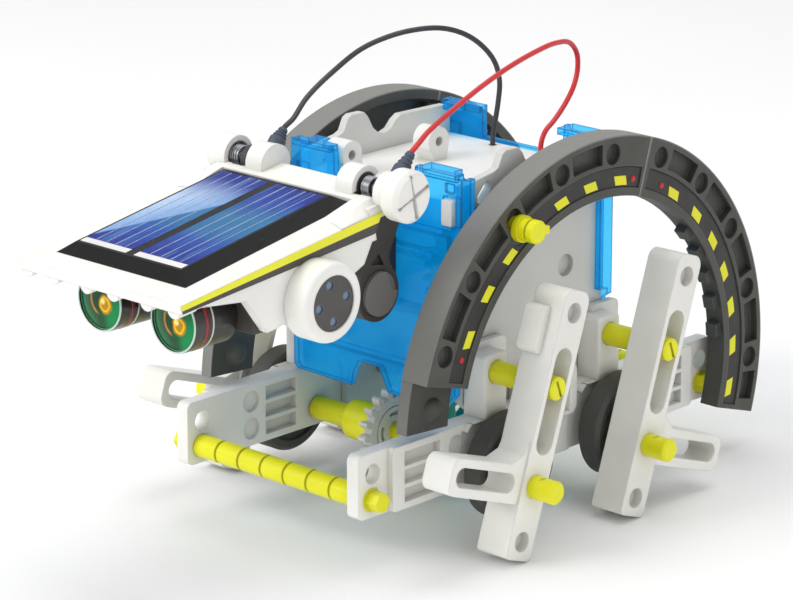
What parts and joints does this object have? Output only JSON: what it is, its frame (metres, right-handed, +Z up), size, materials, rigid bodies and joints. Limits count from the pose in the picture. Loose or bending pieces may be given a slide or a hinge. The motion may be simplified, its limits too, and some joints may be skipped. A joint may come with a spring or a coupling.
{
  "type": "solar walking robot kit",
  "caption": "Walking robot with a tilting solar panel head, a clear gearbox, cranked slotted legs and half-ring side guards on two rails.",
  "frame": {"origin": "on the ground, under the centre of the outline box", "axes": "+X sideways, front of the robot towards -Y, +Z up"},
  "size_m": [0.109, 0.176, 0.1047],
  "materials": {
    "white_plastic": "moulded satin ABS, fine grain",
    "dark_plastic": "dark warm grey moulded plastic, matte",
    "yellow_plastic": "lemon yellow moulded plastic, satin",
    "blue_clear": "clear blue polycarbonate, polished",
    "steel": "plated steel",
    "teal_plastic": "teal acetal, satin",
    "brass_gear": "machined brass",
    "grey_plastic": "mid grey moulded plastic",
    "black_gloss": "black, polished",
    "solar_blue": "blue silicon cells under clear resin with fine light finger lines",
    "contact_white": "tinned contact pads",
    "stripe_print": "printed vinyl, yellow over black",
    "lens_green": "printed green lens with an amber swirl",
    "band_print": "black vinyl band with yellow dashes",
    "slate_rubber": "slate rubber sleeve",
    "wire_dark": "dark insulated wire",
    "wire_red": "red insulated wire"
  },
  "bodies": {
    "chassis": {"rail_right": "white_plastic", "rail_left": "white_plastic", "front_bar": "yellow_plastic", "rear_bar": "yellow_plastic", "drive_motor": "steel", "gear_shafts": "steel", "side_plate_right": "white_plastic", "side_plate_left": "white_plastic", "top_deck": "white_plastic", "gearbox_front_cover": "blue_clear", "gearbox_rear_cover": "blue_clear", "window_clip": "white_plastic", "case_screws": "steel", "neck_bracket": "dark_plastic", "neck_arms": "dark_plastic", "neck_hub_caps": "grey_plastic", "front_guard_right": "dark_plastic", "front_guard_left": "dark_plastic", "rear_guard_right": "dark_plastic", "rear_guard_left": "dark_plastic", "guard_bands": "band_print", "guard_connectors": "yellow_plastic", "wire_black": "wire_dark", "wire_red": "wire_red"},
    "front_drive": {"front_axle": "yellow_plastic", "front_axle_gear": "white_plastic", "front_crank_wheels": "dark_plastic"},
    "rear_drive": {"rear_axle": "yellow_plastic", "rear_axle_gear": "white_plastic", "rear_crank_wheels": "dark_plastic"},
    "central_gear_body": {"central_gear": "teal_plastic"},
    "second_gear_body": {"second_reduction_gear": "teal_plastic"},
    "first_gear_body": {"first_reduction_gear": "teal_plastic"},
    "motor_rotor": {"motor_pinion": "brass_gear"},
    "head": {"head_shell": "white_plastic", "solar_frame": "black_gloss", "solar_cells": "solar_blue", "cell_contacts": "contact_white", "side_stripes": "stripe_print", "eye_housings": "white_plastic", "eye_discs": "black_gloss", "lens_bracket": "grey_plastic", "lens_barrels": "black_gloss", "lens_glasses": "lens_green", "hinge_shaft": "steel", "hinge_knob": "white_plastic", "spring_terminals": "steel", "wire_plugs": "slate_rubber"},
    "front_right_pivot": {"pivot_pin_front_right": "yellow_plastic"},
    "front_right_leg": {"front_leg_right": "white_plastic", "front_crank_pin_right": "yellow_plastic"},
    "front_left_pivot": {"pivot_pin_front_left": "yellow_plastic"},
    "front_left_leg": {"front_leg_left": "white_plastic", "front_crank_pin_left": "yellow_plastic"},
    "rear_right_pivot": {"pivot_pin_rear_right": "yellow_plastic"},
    "rear_right_leg": {"rear_leg_right": "white_plastic", "rear_crank_pin_right": "yellow_plastic"},
    "rear_left_pivot": {"pivot_pin_rear_left": "yellow_plastic"},
    "rear_left_leg": {"rear_leg_left": "white_plastic", "rear_crank_pin_left": "yellow_plastic"}
  },
  "joints": [
    {"name": "front_axle_spin", "type": "hinge", "parent": "chassis", "child": "front_drive", "pos_m": [0, 0.00064, 0.01649], "axis": [1, 0, 0], "continuous": true},
    {"name": "rear_axle_spin", "type": "hinge", "parent": "chassis", "child": "rear_drive", "pos_m": [0, 0.03884, 0.01649], "axis": [1, 0, 0], "continuous": true},
    {"name": "central_gear_spin", "type": "hinge", "parent": "chassis", "child": "central_gear_body", "pos_m": [0, 0.01974, 0.02242], "axis": [1, 0, 0], "continuous": true},
    {"name": "second_gear_spin", "type": "hinge", "parent": "chassis", "child": "second_gear_body", "pos_m": [0, 0.01974, 0.03842], "axis": [1, 0, 0], "continuous": true},
    {"name": "first_gear_spin", "type": "hinge", "parent": "chassis", "child": "first_gear_body", "pos_m": [0, 0.01393, 0.0544], "axis": [1, 0, 0], "continuous": true},
    {"name": "motor_spin", "type": "hinge", "parent": "chassis", "child": "motor_rotor", "pos_m": [0, 0.02772, 0.06597], "axis": [1, 0, 0], "continuous": true},
    {"name": "front_right_rock", "type": "hinge", "parent": "chassis", "child": "front_right_pivot", "pos_m": [0, 0.00064, 0.03699], "axis": [1, 0, 0], "range_deg": [-1.11, 38.82]},
    {"name": "front_right_lift", "type": "slide", "parent": "front_right_pivot", "child": "front_right_leg", "axis": [0, 0.3231, 0.9463], "range_m": [-0.00579, 0.00811]},
    {"name": "front_left_rock", "type": "hinge", "parent": "chassis", "child": "front_left_pivot", "pos_m": [0, 0.00064, 0.03699], "axis": [1, 0, 0], "range_deg": [-1.11, 38.82]},
    {"name": "front_left_lift", "type": "slide", "parent": "front_left_pivot", "child": "front_left_leg", "axis": [0, 0.3231, 0.9463], "range_m": [-0.00579, 0.00811]},
    {"name": "rear_right_rock", "type": "hinge", "parent": "chassis", "child": "rear_right_pivot", "pos_m": [0, 0.03884, 0.03699], "axis": [1, 0, 0], "range_deg": [-1.11, 38.82]},
    {"name": "rear_right_lift", "type": "slide", "parent": "rear_right_pivot", "child": "rear_right_leg", "axis": [0, 0.3231, 0.9463], "range_m": [-0.00579, 0.00811]},
    {"name": "rear_left_rock", "type": "hinge", "parent": "chassis", "child": "rear_left_pivot", "pos_m": [0, 0.03884, 0.03699], "axis": [1, 0, 0], "range_deg": [-1.11, 38.82]},
    {"name": "rear_left_lift", "type": "slide", "parent": "rear_left_pivot", "child": "rear_left_leg", "axis": [0, 0.3231, 0.9463], "range_m": [-0.00579, 0.00811]},
    {"name": "head_tilt", "type": "hinge", "parent": "chassis", "child": "head", "pos_m": [0, -0.02655, 0.08169], "axis": [1, 0, 0], "range_deg": [-35, 15], "deforming": ["wire_black", "wire_red"]}
  ],
  "couplings": [
    {"joint": "rear_axle_spin", "follows": "front_axle_spin", "ratio": 1},
    {"joint": "central_gear_spin", "follows": "front_axle_spin", "ratio": -0.81818},
    {"joint": "second_gear_spin", "follows": "front_axle_spin", "ratio": 1.8},
    {"joint": "first_gear_spin", "follows": "front_axle_spin", "ratio": -4.32},
    {"joint": "motor_spin", "follows": "front_axle_spin", "ratio": 15.12},
    {"joint": "front_left_rock", "follows": "front_right_rock", "ratio": 1},
    {"joint": "front_left_lift", "follows": "front_right_lift", "ratio": 1},
    {"joint": "rear_right_rock", "follows": "front_right_rock", "ratio": 1},
    {"joint": "rear_right_lift", "follows": "front_right_lift", "ratio": 1},
    {"joint": "rear_left_rock", "follows": "front_right_rock", "ratio": 1},
    {"joint": "rear_left_lift", "follows": "front_right_lift", "ratio": 1}
  ]
}
